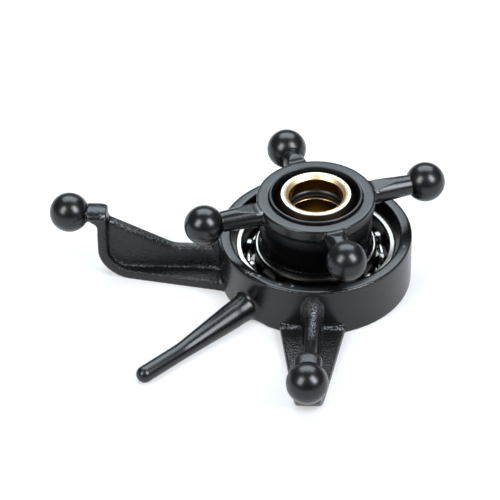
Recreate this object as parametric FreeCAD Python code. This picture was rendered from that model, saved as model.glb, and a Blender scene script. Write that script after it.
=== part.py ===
import FreeCAD, Part
import math
import os

# Swashplate of a micro helicopter, in millimetres.  +Z is the main shaft's axis and the two servo
# arms point along -X and -Y.  Heights are counted from the plane that the fixed ring rests on;
# each finished piece is then lowered so that the middle of the pivot ball is the origin.

Vector = FreeCAD.Vector

# main shaft and the bush that runs on it
shaft_radius = 2.0
bush_wall = 0.35
bush_chamfer = 0.28
lower_bush_chamfer = 0.08
seal_cord = 0.72
seal_slot = 0.86
upper_bush_length = 1.2

# pivot ball
pivot_radius = 3.25
pivot_face_radius = 2.6
pivot_edge_round = 0.12
pivot_stand_out = 0.25

# deep-groove bearing, open, 8 x 12 x 2.5
bearing_bore = 4.0
bearing_outer = 6.0
bearing_width = 2.5
bearing_ball_radius = 0.595
bearing_ball_count = 12
bearing_ball_turn = 22.5
race_shoulder = 0.14
pitch_shift = 0.055
race_corner = 0.12
race_chamfer = 0.12

# pressed ribbon cage of the bearing, its halves spot welded between the balls
cage_sheet = 0.1
cage_half_width = 0.15

# fixed ring
ring_outer = 7.24
ring_mouth = 6.42
ring_height = 4.1
ring_floor = 0.6
ring_floor_overlap = 0.55
ring_edge_round = 0.1

# rotating hub
hub_height = 7.5
hub_radius = 4.22
hub_flange_step = 0.19
hub_flange_height = 0.95
hub_edge_round = 0.14
hub_foot_radius = 4.42
hub_foot_height = 0.55
hub_bottom = 0.15
hub_lower_bore = 3.05
hub_lower_mouth = 3.32
seat_depth = 1.25
hub_turn = 20.0

# ring that holds the pivot ball in the hub
retainer_radius = 3.48
retainer_stand_up = 0.2
retainer_lip = 0.17
retainer_throat = 3.02
retainer_throat_height = 1.2
retainer_edge = 0.06

# collar that holds the inner race on the hub's spigot
collar_radius = 4.4
collar_edge = 0.08

# control balls and their arms
control_ball_radius = 1.49
hub_ball_height = 6.8
hub_ball_reaches = (8.65, 7.15)
hub_arm_root_radius = 0.92
hub_arm_tip_radius = 0.78
hub_arm_blend = 0.3
hub_arm_flat_drop = 0.1

# servo arms of the fixed ring
servo_ball_reach = 18.5
servo_ball_height = 5.4
servo_stub_radius = 0.66
arm_web_half = 0.48
arm_web_round = 0.4
arm_floor_thickness = 0.8
arm_root_half_width = 2.45
arm_end_half_width = 0.94
arm_end_reach = 16.42
arm_corner_radius = 2.4
arm_root_sink = 0.5
arm_low_height = 2.6
arm_low_reach = 10.7
arm_bend_round = 1.6
arm_rise_height = 3.78
arm_rise_reach = 0.6
arm_rise_round = 0.5
arm_shoulder_height = 5.1
arm_head_outward = 0.58
arm_head_up = 0.5
arm_head_down = 0.5
arm_head_round = 0.36
arm_head_corner = 0.2
arm_neck_round = 0.42
arm_rib_half_width = 0.92
arm_rib_stand_out = 0.45
arm_rib_height = 3.15
arm_rib_round = 0.35
servo_arm_turns = (180.0, 270.0)

# pin that keeps the fixed ring from turning
pin_turn = 226.7
pin_reach = 18.05
pin_taper_reach = 13.8
pin_root_radius = 1.12
pin_tip_radius = 0.63

# clearances, each on the radius or on one side
press_gap = 0.01
running_gap = 0.03
cage_gap = 0.04
seat_gap = 0.04

# places worked out from the sizes above
bearing_bottom = ring_floor
bearing_top = bearing_bottom + bearing_width
bearing_middle = bearing_bottom + bearing_width / 2
pitch_radius = (bearing_bore + bearing_outer) / 2 + pitch_shift
pivot_face_rise = math.sqrt(pivot_radius ** 2 - pivot_face_radius ** 2)
pivot_middle = hub_height + pivot_stand_out - pivot_face_rise
pivot_top = pivot_middle + pivot_face_rise
pivot_bottom = pivot_middle - pivot_face_rise
bush_radius = shaft_radius + bush_wall
seal_top = pivot_top - upper_bush_length
seal_bottom = seal_top - seal_slot
seat_floor = pivot_middle - seat_depth
arm_head_outer = arm_end_reach + arm_head_outward
arm_head_top = servo_ball_height + arm_head_up
arm_wall = arm_end_reach - arm_floor_thickness
arm_root = ring_outer - arm_root_sink
AXIS = Vector(0, 0, 1)
ORIGIN = Vector(0, 0, 0)


def section(points):
    """Closed face in the XZ plane from (radius, height) points."""
    corners = [Vector(r, 0, z) for r, z in points]
    return Part.Face(Part.makePolygon(corners + corners[:1]))


def revolved(points):
    """Solid of revolution about Z from (radius, height) points."""
    return section(points).revolve(ORIGIN, AXIS, 360)


def tube(inner, outer, bottom, top):
    """Plain tube about Z."""
    return revolved([(inner, bottom), (outer, bottom), (outer, top), (inner, top)])


def sphere_at(radius, x, y, z):
    """Solid ball with its poles on the X axis through its middle."""
    return Part.makeSphere(radius, Vector(x, y, z), Vector(1, 0, 0))


def turned(shape, degrees):
    """Copy of a shape turned about Z."""
    copy = shape.copy()
    copy.rotate(ORIGIN, AXIS, degrees)
    return copy


def round_edges(shape, radius, wanted):
    """Fillet the edges that the test picks out."""
    edges = [edge for edge in shape.Edges if wanted(edge)]
    return shape.makeFillet(radius, edges)


def is_circle_at(edge, radius, height):
    """True for a full circle about Z with this radius and height."""
    curve = edge.Curve
    if not isinstance(curve, Part.Circle):
        return False
    centre = curve.Center
    level = abs(centre.z - height) < 1e-4
    centred = math.hypot(centre.x, centre.y) < 1e-4
    return level and centred and abs(curve.Radius - radius) < 1e-4


# ---------------------------------------------------------------- bearing

def outer_race():
    """Outer race: square corners on the seat eased, lands chamfered, ball track ground in."""
    land = pitch_radius + bearing_ball_radius - race_shoulder
    seat = bearing_outer - press_gap
    body = revolved([
        (land, bearing_bottom + race_chamfer),
        (land + race_chamfer, bearing_bottom),
        (seat - race_corner, bearing_bottom),
        (seat, bearing_bottom + race_corner),
        (seat, bearing_top - race_corner),
        (seat - race_corner, bearing_top),
        (land + race_chamfer, bearing_top),
        (land, bearing_top - race_chamfer),
    ])
    return body.cut(ball_track())


def inner_race():
    """Inner race, the mirror of the outer one about the balls' pitch circle."""
    land = pitch_radius - bearing_ball_radius + race_shoulder
    seat = bearing_bore + press_gap
    body = revolved([
        (seat + race_corner, bearing_bottom),
        (land - race_chamfer, bearing_bottom),
        (land, bearing_bottom + race_chamfer),
        (land, bearing_top - race_chamfer),
        (land - race_chamfer, bearing_top),
        (seat + race_corner, bearing_top),
        (seat, bearing_top - race_corner),
        (seat, bearing_bottom + race_corner),
    ])
    return body.cut(ball_track())


def ball_track():
    """Ring-shaped space that the balls roll in."""
    middle = Vector(0, 0, bearing_middle)
    return Part.makeTorus(pitch_radius, bearing_ball_radius + running_gap, middle, AXIS)


def ball_turns():
    """Angle of each bearing ball about Z."""
    pitch = 360.0 / bearing_ball_count
    return [bearing_ball_turn + pitch * k for k in range(bearing_ball_count)]


def bearing_ball(turn):
    """One steel ball on the pitch circle."""
    return turned(sphere_at(bearing_ball_radius, pitch_radius, 0, bearing_middle), turn)


def pocket_room(radius, turn):
    """Round bar along the radius through one ball, the shape that presses a pocket."""
    start = pitch_radius - 2 * cage_half_width
    bar = Part.makeCylinder(radius, 4 * cage_half_width, Vector(start, 0, bearing_middle), Vector(1, 0, 0))
    return turned(bar, turn)


def cage_half(side):
    """Half of the ribbon cage: flats between the balls, a pressed pocket over each ball."""
    inner = pitch_radius - cage_half_width
    outer = pitch_radius + cage_half_width
    pocket = bearing_ball_radius + cage_gap
    near = bearing_middle + press_gap / 2
    flats = tube(inner, outer, near, near + cage_sheet)
    ribbon = tube(inner, outer, near, near + pocket + 2 * cage_sheet)
    pockets = [pocket_room(pocket + cage_sheet, turn) for turn in ball_turns()]
    half = flats.fuse(ribbon.common(Part.makeCompound(pockets)))
    hollows = [pocket_room(pocket, turn) for turn in ball_turns()]
    half = half.cut(Part.makeCompound(hollows)).removeSplitter()
    if side < 0:
        half = half.mirror(Vector(0, 0, bearing_middle), AXIS)
    return half


# ---------------------------------------------------------------- fixed ring

def ring_body():
    """Cup that holds the outer race: lead-in cone, seat and a floor lip under the race."""
    lip = bearing_outer - ring_floor_overlap
    body = revolved([
        (lip, 0),
        (ring_outer, 0),
        (ring_outer, ring_height),
        (ring_mouth, ring_height),
        (bearing_outer, bearing_top + press_gap),
        (bearing_outer, bearing_bottom - press_gap),
        (lip, bearing_bottom - press_gap),
    ])
    return round_edges(body, ring_edge_round, lambda edge: is_circle_at(edge, ring_outer, ring_height)
                       or is_circle_at(edge, ring_outer, 0))


def rounded_outline(corners):
    """Closed wire in the XZ plane from (x, z, radius) corners, an arc in each corner with a radius."""
    edges = []
    ends = []
    count = len(corners)
    for k in range(count):
        x, z, radius = corners[k]
        here = Vector(x, 0, z)
        before = Vector(corners[k - 1][0], 0, corners[k - 1][1]) - here
        after = Vector(corners[(k + 1) % count][0], 0, corners[(k + 1) % count][1]) - here
        if not radius:
            ends.append((here, here))
            continue
        before.normalize()
        after.normalize()
        half_angle = before.getAngle(after) / 2
        middle_line = before + after
        middle_line.normalize()
        start = here + before * (radius / math.tan(half_angle))
        end = here + after * (radius / math.tan(half_angle))
        nearest = here + middle_line * (radius / math.sin(half_angle) - radius)
        edges.append(Part.Arc(start, nearest, end).toShape())
        ends.append((start, end))
    for k in range(count):
        edges.append(Part.makeLine(ends[k - 1][1], ends[k][0]))
    return Part.Wire(Part.__sortEdges__(edges))


def slab(corners, half_width):
    """Flat piece with this side outline, the same on both sides of the XZ plane."""
    face = Part.Face(rounded_outline(corners))
    face.translate(Vector(0, -half_width, 0))
    return face.extrude(Vector(0, 2 * half_width, 0))


def arm_web():
    """Upright web: a swept-up root on the ring, a level stretch, then a straight slope to the head."""
    inset = arm_floor_thickness / 2
    web = slab([
        (arm_root, inset, 0),
        (arm_end_reach - inset, inset, arm_corner_radius - inset),
        (arm_end_reach - inset, arm_shoulder_height, 0),
        (arm_wall, arm_shoulder_height, 0),
        (arm_low_reach, arm_low_height, arm_bend_round),
        (ring_outer + arm_rise_reach, arm_low_height, arm_rise_round),
        (ring_outer, arm_rise_height, 0),
        (arm_root, arm_rise_height, 0),
    ], arm_web_half)
    return round_edges(web, arm_web_round, is_web_top)


def is_web_top(edge):
    """True for the long upper edges of the web, which the mould leaves round."""
    middle = edge.CenterOfMass
    on_side = edge.BoundBox.YLength < 1e-6 and abs(abs(middle.y) - arm_web_half) < 1e-4
    return on_side and middle.z > arm_low_height - 0.01 and ring_outer < middle.x < arm_wall


def arm_rib():
    """Upright round rib that thickens the web where it meets the ring."""
    middle = ring_outer + arm_rib_stand_out - arm_rib_half_width
    post = Part.makeCylinder(arm_rib_half_width, arm_rib_height - arm_floor_thickness / 2,
                             Vector(middle, 0, arm_floor_thickness / 2))
    return round_edges(post, arm_rib_round, lambda edge: edge.BoundBox.ZMin > arm_rib_height - 0.01)


def arm_flange():
    """Flange along the foot of the web that bends up round the corner and ends in the head."""
    under_head = servo_ball_height - arm_head_down
    strip = slab([
        (arm_root, 0, 0),
        (arm_end_reach, 0, arm_corner_radius),
        (arm_end_reach, under_head, arm_neck_round),
        (arm_head_outer, under_head, 0),
        (arm_head_outer, arm_head_top, arm_head_corner),
        (arm_wall, arm_head_top, arm_head_corner),
        (arm_wall, arm_floor_thickness, arm_corner_radius - arm_floor_thickness),
        (arm_root, arm_floor_thickness, 0),
    ], arm_root_half_width)
    plan_points = [
        Vector(arm_root, -arm_root_half_width, 0),
        Vector(arm_wall, -arm_end_half_width, 0),
        Vector(arm_head_outer + 1, -arm_end_half_width, 0),
        Vector(arm_head_outer + 1, arm_end_half_width, 0),
        Vector(arm_wall, arm_end_half_width, 0),
        Vector(arm_root, arm_root_half_width, 0),
    ]
    plan = Part.Face(Part.makePolygon(plan_points + plan_points[:1]))
    flange = strip.common(plan.extrude(Vector(0, 0, hub_height)))
    return round_edges(flange, arm_head_round, is_head_top)


def is_head_top(edge):
    """True for the two upper edges of the head that run along the arm."""
    middle = edge.CenterOfMass
    along = edge.BoundBox.XLength > arm_head_outward
    return along and abs(middle.z - arm_head_top) < 1e-4 and abs(abs(middle.y) - arm_end_half_width) < 1e-4


def arm_ball():
    """Control ball and the stub that carries it out from the head."""
    stub = Part.makeCylinder(servo_stub_radius, servo_ball_reach - arm_wall - arm_head_corner,
                             Vector(arm_wall + arm_head_corner, 0, servo_ball_height), Vector(1, 0, 0))
    return stub.fuse(sphere_at(control_ball_radius, servo_ball_reach, 0, servo_ball_height))


def servo_arm():
    """Whole servo arm, built along +X."""
    return arm_flange().fuse([arm_web(), arm_rib(), arm_ball()])


def pin():
    """Round pin, tapered from the ring and then even, its lower side on the resting plane."""
    root_middle = Vector(arm_root, 0, pin_root_radius)
    taper_end = Vector(pin_taper_reach, 0, pin_tip_radius)
    tip_middle = Vector(pin_reach - pin_tip_radius, 0, pin_tip_radius)
    run = taper_end - root_middle
    taper = Part.makeCone(pin_root_radius, pin_tip_radius, run.Length, root_middle, run)
    elbow = Part.makeSphere(pin_tip_radius, taper_end, run)
    even = Part.makeCylinder(pin_tip_radius, (tip_middle - taper_end).Length, taper_end, tip_middle - taper_end)
    tip = Part.makeSphere(pin_tip_radius, tip_middle, tip_middle - taper_end)
    return taper.fuse([elbow, even, tip])


def lower_ring():
    """Fixed ring, its two servo arms and its pin, one moulding."""
    pieces = [turned(servo_arm(), turn) for turn in servo_arm_turns]
    pieces.append(turned(pin(), pin_turn))
    whole = ring_body().fuse(pieces)
    keep_out = revolved([
        (0, -1), (bearing_outer - ring_floor_overlap, -1),
        (bearing_outer - ring_floor_overlap, bearing_bottom - press_gap),
        (bearing_outer, bearing_bottom - press_gap),
        (bearing_outer, bearing_top + press_gap),
        (ring_mouth, ring_height), (ring_mouth, ring_height + 1), (0, ring_height + 1),
    ])
    return whole.cut(keep_out).removeSplitter()


# ---------------------------------------------------------------- rotating hub

def hub_arm(reach):
    """Slightly tapered round arm along +X, from the hub's axis to the middle of its ball."""
    taper = (hub_arm_root_radius - hub_arm_tip_radius) / (reach - control_ball_radius - hub_radius)
    axis_radius = hub_arm_root_radius + taper * hub_radius
    end_radius = hub_arm_tip_radius - taper * control_ball_radius
    return Part.makeCone(axis_radius, end_radius, reach, Vector(0, 0, hub_ball_height), Vector(1, 0, 0))


def hub():
    """Rotating hub: barrel, rim, foot on the inner race, spigot through it and four arms."""
    tall = hub_height + 2 * hub_arm_root_radius
    foot_level = bearing_top + press_gap
    barrel = Part.makeCylinder(hub_radius, tall - foot_level, Vector(0, 0, foot_level))
    arms = [turned(hub_arm(hub_ball_reaches[k % 2]), hub_turn + 90 * k) for k in range(4)]
    body = barrel.fuse(arms)
    body = round_edges(body, hub_arm_blend, is_arm_root)
    above = Part.makeCylinder(max(hub_ball_reaches), 3 * hub_arm_root_radius,
                              Vector(0, 0, hub_height - hub_arm_flat_drop))
    body = body.cut(above)
    rim_radius = hub_radius + hub_flange_step
    rim = Part.makeCylinder(rim_radius, hub_flange_height, Vector(0, 0, hub_height - hub_flange_height))
    rim = round_edges(rim, hub_edge_round, lambda edge: is_circle_at(edge, rim_radius, hub_height))
    foot = Part.makeCone(hub_foot_radius, hub_radius, hub_foot_height, Vector(0, 0, foot_level))
    spigot = Part.makeCylinder(bearing_bore, foot_level - hub_bottom, Vector(0, 0, hub_bottom))
    body = body.fuse([rim, foot, spigot])
    balls = [turned(sphere_at(control_ball_radius, hub_ball_reaches[k % 2], 0, hub_ball_height),
                    hub_turn + 90 * k) for k in range(4)]
    return body.fuse(balls).cut(hub_hollow()).removeSplitter()


def is_arm_root(edge):
    """True for the closed curves where the arms meet the barrel."""
    box = edge.BoundBox
    level = abs((box.ZMin + box.ZMax) / 2 - hub_ball_height) < 0.01
    wide = 1.8 * hub_arm_tip_radius < box.ZLength < 2.2 * hub_arm_root_radius
    return level and wide and not isinstance(edge.Curve, Part.Circle)


def hub_hollow():
    """Inside of the hub: room for the retaining ring, ball seat and flared shaft passage."""
    seat = Part.makeSphere(pivot_radius + seat_gap, Vector(0, 0, pivot_middle))
    room = Part.makeCylinder(retainer_radius + press_gap, hub_height + 1 - pivot_middle,
                             Vector(0, 0, pivot_middle))
    passage = Part.makeCone(hub_lower_mouth, hub_lower_bore, seat_floor - hub_bottom + 0.4,
                            Vector(0, 0, hub_bottom - 0.2))
    return seat.fuse([room, passage])


def ball_retainer():
    """Ring pressed into the hub over the ball: ball seat below, open cone and raised lip above."""
    top = hub_height + retainer_stand_up
    body = revolved([
        (retainer_throat, pivot_middle + press_gap),
        (retainer_radius, pivot_middle + press_gap),
        (retainer_radius, top - retainer_edge),
        (retainer_radius - retainer_edge, top),
        (retainer_radius - retainer_lip, top),
        (retainer_throat, pivot_middle + retainer_throat_height),
    ])
    seat = Part.makeSphere(pivot_radius + seat_gap, Vector(0, 0, pivot_middle))
    return body.cut(seat)


def race_collar():
    """Collar pressed on the end of the spigot, under the inner race."""
    seat = bearing_bore + press_gap
    top = bearing_bottom - press_gap
    return revolved([
        (seat, hub_bottom),
        (collar_radius - collar_edge, hub_bottom),
        (collar_radius, hub_bottom + collar_edge),
        (collar_radius, top),
        (seat, top),
    ])


# ---------------------------------------------------------------- pivot ball

def pivot_ball():
    """Truncated ball, bored for the two bushes, with a groove inside for the seal."""
    ball = Part.makeSphere(pivot_radius, Vector(0, 0, pivot_middle))
    ball = ball.common(Part.makeCylinder(pivot_radius + 1, pivot_top - pivot_bottom,
                                         Vector(0, 0, pivot_bottom)))
    ball = round_edges(ball, pivot_edge_round, lambda edge: is_circle_at(edge, pivot_face_radius, pivot_top)
                       or is_circle_at(edge, pivot_face_radius, pivot_bottom))
    bore = Part.makeCylinder(bush_radius + press_gap, hub_height, Vector(0, 0, 1))
    groove = Part.makeCylinder(shaft_radius + seal_cord + 2 * press_gap, seal_slot,
                               Vector(0, 0, seal_bottom))
    return ball.cut(bore.fuse(groove))


def upper_bush():
    """Brass sleeve above the seal, with the wide lead-in chamfer for the shaft."""
    return revolved([
        (shaft_radius, seal_top),
        (bush_radius, seal_top),
        (bush_radius, pivot_top),
        (shaft_radius + bush_chamfer, pivot_top),
        (shaft_radius, pivot_top - bush_chamfer),
    ])


def lower_bush():
    """Brass sleeve below the seal, its ends eased."""
    return revolved([
        (shaft_radius, pivot_bottom + lower_bush_chamfer),
        (shaft_radius + lower_bush_chamfer, pivot_bottom),
        (bush_radius, pivot_bottom),
        (bush_radius, seal_bottom),
        (shaft_radius + lower_bush_chamfer, seal_bottom),
        (shaft_radius, seal_bottom - lower_bush_chamfer),
    ])


def shaft_seal():
    """Rubber O-ring in the groove between the two sleeves."""
    cord = seal_cord / 2
    middle = Vector(0, 0, (seal_top + seal_bottom) / 2)
    return Part.makeTorus(shaft_radius + press_gap + cord, cord, middle, AXIS)


def write(name, shape):
    """Check one node, lower it to the pivot's origin and write it as a STEP file."""
    if not shape.isValid():
        raise ValueError(name + " is not a valid shape")
    placed = shape.copy()
    placed.translate(Vector(0, 0, -pivot_middle))
    print(name, "solids", len(placed.Solids), "volume", round(placed.Volume, 3))
    placed.exportStep("parts/" + name + ".step")


def main():
    os.makedirs("parts", exist_ok=True)
    write("lower_ring", lower_ring())
    write("bearing_outer_race", outer_race())
    write("bearing_inner_race", inner_race())
    write("bearing_cage_upper", cage_half(1))
    write("bearing_cage_lower", cage_half(-1))
    for number, turn in enumerate(ball_turns(), 1):
        write("bearing_ball_%02d" % number, bearing_ball(turn))
    write("rotating_hub", hub())
    write("ball_retaining_ring", ball_retainer())
    write("inner_race_collar", race_collar())
    write("pivot_ball", pivot_ball())
    write("upper_shaft_bush", upper_bush())
    write("lower_shaft_bush", lower_bush())
    write("shaft_seal_ring", shaft_seal())


main()
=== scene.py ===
import math

import bmesh
import bpy
import numpy as np
from bpy.props import FloatProperty, IntProperty, PointerProperty, StringProperty
from mathutils import Matrix, Vector


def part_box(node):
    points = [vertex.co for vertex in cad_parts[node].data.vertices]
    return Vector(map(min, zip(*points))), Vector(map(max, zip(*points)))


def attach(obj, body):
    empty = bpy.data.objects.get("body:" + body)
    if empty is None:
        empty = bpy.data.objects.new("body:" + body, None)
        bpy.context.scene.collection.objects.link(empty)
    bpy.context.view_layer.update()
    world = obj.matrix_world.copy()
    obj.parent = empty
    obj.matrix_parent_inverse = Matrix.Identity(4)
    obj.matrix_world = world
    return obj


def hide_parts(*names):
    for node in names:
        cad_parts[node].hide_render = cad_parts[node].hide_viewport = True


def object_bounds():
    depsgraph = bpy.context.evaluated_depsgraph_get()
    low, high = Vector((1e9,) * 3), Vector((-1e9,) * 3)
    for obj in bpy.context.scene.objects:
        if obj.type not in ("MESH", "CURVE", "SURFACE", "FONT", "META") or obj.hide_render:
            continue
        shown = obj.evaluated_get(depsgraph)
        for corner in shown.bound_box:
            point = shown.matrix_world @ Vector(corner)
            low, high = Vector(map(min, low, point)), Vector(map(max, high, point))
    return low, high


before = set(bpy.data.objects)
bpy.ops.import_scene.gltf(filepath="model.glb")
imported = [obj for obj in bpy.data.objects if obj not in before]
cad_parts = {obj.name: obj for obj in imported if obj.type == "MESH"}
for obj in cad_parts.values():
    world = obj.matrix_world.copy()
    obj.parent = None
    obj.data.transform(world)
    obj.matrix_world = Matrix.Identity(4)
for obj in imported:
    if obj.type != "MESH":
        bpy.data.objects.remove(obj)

bl_info = {
    "name": "Swashplate dressing",
    "version": (1, 0, 0),
    "blender": (4, 5, 0),
    "location": "View3D > Sidebar > Swashplate",
    "description": "Dresses a helicopter swashplate: mouldings, bearing, pivot ball and studio stage",
    "category": "Object",
}

MM = 0.001
CAD_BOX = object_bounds()
EASE = 0.03 * MM  # eased edge of a turned or ground piece
FINE_TURN = 256  # steps round a turned piece
TURN = 192  # steps round a piece that hardly shows
CAD_WELD = 0.0001 * MM  # closes the seams of a CAD copy
MOST_TRIANGLES = 195000  # of one moulding

# Places on the mouldings in millimetres, counted from the pivot's middle
RING_RADIUS = 7.24
HUB_RADIUS = 4.22
SERVO_TURNS = (180, 270)
SERVO_HEAD = (15.3, 17.2)
BALL_NECK = 1.22
SEAM_DROP = 0.25
PIN_TURN = 226.7
PIN_START, PIN_TAPER_END, PIN_ROUND_END = 6.74, 13.8, 17.42
PIN_ROOT, PIN_TIP = 1.12, 0.63
HUB_ARM_HEIGHT = 1.0
HUB_ARM_START = 4.41
HUB_ARM_ROOT, HUB_ARM_TAPER = 0.92, 0.14
HUB_ARM_FLAT, HUB_ARM_FLAT_RISE = 0.6, 0.34
HUB_ARMS = ((20, 8.65), (110, 7.15), (200, 8.65), (290, 7.15))
NO_FLAT = 9.0  # a flat higher than any shank


def low(node):
    """Lowest height of a node."""
    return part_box(node)[0].z


def high(node):
    """Highest height of a node."""
    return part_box(node)[1].z


def reach(node):
    """Outer radius of a round node about the shaft's axis."""
    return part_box(node)[1].x


# Sizes and colours

class SwashplateSizes(bpy.types.PropertyGroup):
    """Sizes that the dressing needs and the frame's boxes don't give."""

    shaft_radius: FloatProperty(name="Shaft radius", description="Radius of the main shaft's bore",
        default=2.0 * MM, unit="LENGTH")
    sleeve_wall: FloatProperty(name="Sleeve wall", description="Wall thickness of the brass sleeves",
        default=0.35 * MM, unit="LENGTH")
    sleeve_chamfer: FloatProperty(
        name="Sleeve chamfer", description="Lead-in chamfer at the top of the upper sleeve",
        default=0.28 * MM, unit="LENGTH")
    pivot_face: FloatProperty(
        name="Pivot face radius", description="Radius of the flats at the ends of the pivot ball",
        default=2.6 * MM, unit="LENGTH")
    pitch_radius: FloatProperty(
        name="Pitch radius", description="Radius of the circle that the bearing balls run on",
        default=5.055 * MM, unit="LENGTH")
    bearing_ball: FloatProperty(name="Bearing ball radius", description="Radius of a bearing ball",
        default=0.595 * MM, unit="LENGTH")
    bearing_balls: IntProperty(
        name="Bearing balls", description="Number of balls in the bearing", default=12)
    first_ball: FloatProperty(
        name="First ball", description="Angle of the first bearing ball about the shaft",
        default=math.radians(22.5), subtype="ANGLE")
    race_land: FloatProperty(
        name="Race land", description="Distance from the pitch circle to the lands of the races",
        default=0.455 * MM, unit="LENGTH")
    race_corner: FloatProperty(name="Race corner", description="Size of the races' eased corners",
        default=0.12 * MM, unit="LENGTH")
    race_bore: FloatProperty(
        name="Race bore", description="Bore radius of the inner race", default=4.01 * MM, unit="LENGTH")
    cage_half_width: FloatProperty(name="Cage half width", description="Half of the ribbon cage's width",
        default=0.14 * MM, unit="LENGTH")
    cage_sheet: FloatProperty(
        name="Cage sheet", description="Thickness of the strip that the cage is pressed from",
        default=0.1 * MM, unit="LENGTH")
    control_ball: FloatProperty(
        name="Control ball radius", description="Radius of the six moulded control balls",
        default=1.49 * MM, unit="LENGTH")
    servo_ball_reach: FloatProperty(
        name="Servo ball reach", description="Distance from the shaft to a servo arm's ball",
        default=18.5 * MM, unit="LENGTH")
    servo_ball_height: FloatProperty(
        name="Servo ball height", description="Height of the servo balls over the pivot's middle",
        default=-0.4 * MM, unit="LENGTH")
    mould_voxel: FloatProperty(
        name="Mould voxel", description="Size of the finest form kept on the mouldings",
        default=0.08 * MM, unit="LENGTH")


class SwashplateColours(bpy.types.PropertyGroup):
    """Colours of the finishes, as sRGB hex values."""

    nylon: StringProperty(name="Nylon", description="Black glass-filled nylon", default="#050506")
    # worn: pale colour of scuffs, also of the painted highlights along the servo arms' web crests
    wear_and_highlight: StringProperty(name="Worn nylon", description="Nylon scuffed pale", default="#9aa0a6")
    acetal: StringProperty(name="Acetal", description="Black acetal retaining ring", default="#070707")
    steel: StringProperty(name="Bearing steel", description="Ground bearing steel", default="#a9a69f")
    oiled: StringProperty(name="Oiled balls", description="Bearing balls under oil", default="#77756f")
    # film: dark steel of the oil film in the bearing's track, also painted shade below the races' tops and
    # over the cage
    film_and_painted_shade: StringProperty(name="Oil film", description="Oil-dulled bearing steel", default="#1a1917")
    # strip: the cage's bright steel, left showing only in the painted highlights on its crests and dome
    # tops
    strip: StringProperty(name="Cage strip", description="Pressed steel strip", default="#d6d4cf")
    nickel: StringProperty(name="Nickel plate", description="Bright plate of the ball", default="#eee9e2")
    brass: StringProperty(name="Brass", description="Bright turned brass of the sleeves", default="#dcc79e")
    tarnish: StringProperty(name="Tarnish", description="Browned brass in the bore", default="#8f6420")
    rubber: StringProperty(name="Rubber", description="Nitrile rubber of the seal", default="#0a0a0a")
    # smear: painted shade on the plated ball's sphere, and the dark joint line at its bore
    smear: StringProperty(name="Smear", description="Dark grease on the plated ball", default="#231b12")
    floor: StringProperty(name="Floor", description="Pale studio floor", default="#a3a5a8")
    glow: StringProperty(name="Floor glow", description="Light that the floor gives", default="#fffefb")
    air: StringProperty(name="Studio air", description="Light from all round", default="#f2f6fc")


def sizes():
    """Sizes as they are set now."""
    return bpy.context.scene.swashplate_sizes


def colours():
    """Colours as they are set now."""
    return bpy.context.scene.swashplate_colours


# Materials

def linear(text):
    """Linear RGBA from an sRGB hex value."""
    parts = [int(text[i:i + 2], 16) / 255 for i in (1, 3, 5)]
    return [c / 12.92 if c <= 0.04045 else ((c + 0.055) / 1.055) ** 2.4 for c in parts] + [1.0]


def add(tree, kind, links=(), **settings):
    """Adds one node with its settings and links; a link is (input, source node, output)."""
    node = tree.nodes.new(kind)
    for name, value in settings.items():
        if hasattr(node, name):
            setattr(node, name, value)
        else:
            node.inputs[name.replace("_", " ")].default_value = value
    for name, source, output in links:
        tree.links.new(source.outputs[output], node.inputs[name])
    return node


def fresh_material(name, **settings):
    """New material with a Principled shader; returns material, tree, shader and coordinates."""
    material = bpy.data.materials.new(name)
    material.use_nodes = True
    tree = material.node_tree
    tree.nodes.clear()
    shader = add(tree, "ShaderNodeBsdfPrincipled", **settings)
    add(tree, "ShaderNodeOutputMaterial", links=[("Surface", shader, "BSDF")])
    place = add(tree, "ShaderNodeTexCoord")
    return material, tree, shader, place


def feed(taker, slot, node, output):
    """Links a node's output to another node's input."""
    taker.id_data.links.new(node.outputs[output], taker.inputs[slot])


def noise(source, size, detail=2.0, roughness=0.5, output="Object"):
    """Noise whose lumps are about this size in millimetres."""
    return add(source.id_data, "ShaderNodeTexNoise", links=[("Vector", source, output)],
               Scale=0.5 / (size * MM), Detail=detail, Roughness=roughness)


def calculate(tree, operation, first, second=None):
    """Maths node; each value is a number or a (node, output) pair."""
    node = add(tree, "ShaderNodeMath", operation=operation)
    for slot, value in enumerate((first, second)):
        if isinstance(value, tuple):
            feed(node, slot, *value)
        elif value is not None:
            node.inputs[slot].default_value = value
    return node


def spread(source, over, to, output="Fac"):
    """Maps a value smoothly from one range to another."""
    node = add(source.id_data, "ShaderNodeMapRange", interpolation_type="SMOOTHSTEP",
               links=[("Value", source, output)])
    for name, value in zip(("From Min", "From Max", "To Min", "To Max"), over + to):
        node.inputs[name].default_value = value
    return node


def bump(height, strength, depth, below=None, output="Fac"):
    """Bump of this depth in millimetres, laid over another bump where there is one."""
    node = add(height.id_data, "ShaderNodeBump", links=[("Height", height, output)],
               Strength=strength, Distance=depth * MM)
    if below:
        feed(node, "Normal", below, "Normal")
    return node


def two_tone(factor, first, second, output="Fac"):
    """Mix of two linear colours."""
    node = add(factor.id_data, "ShaderNodeMix", data_type="RGBA", links=[("Factor", factor, output)])
    node.inputs["A"].default_value = first
    node.inputs["B"].default_value = second
    return node


def attribute(tree, name):
    """Per-vertex value that the mesh code has painted."""
    return add(tree, "ShaderNodeAttribute", attribute_name=name)


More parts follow.
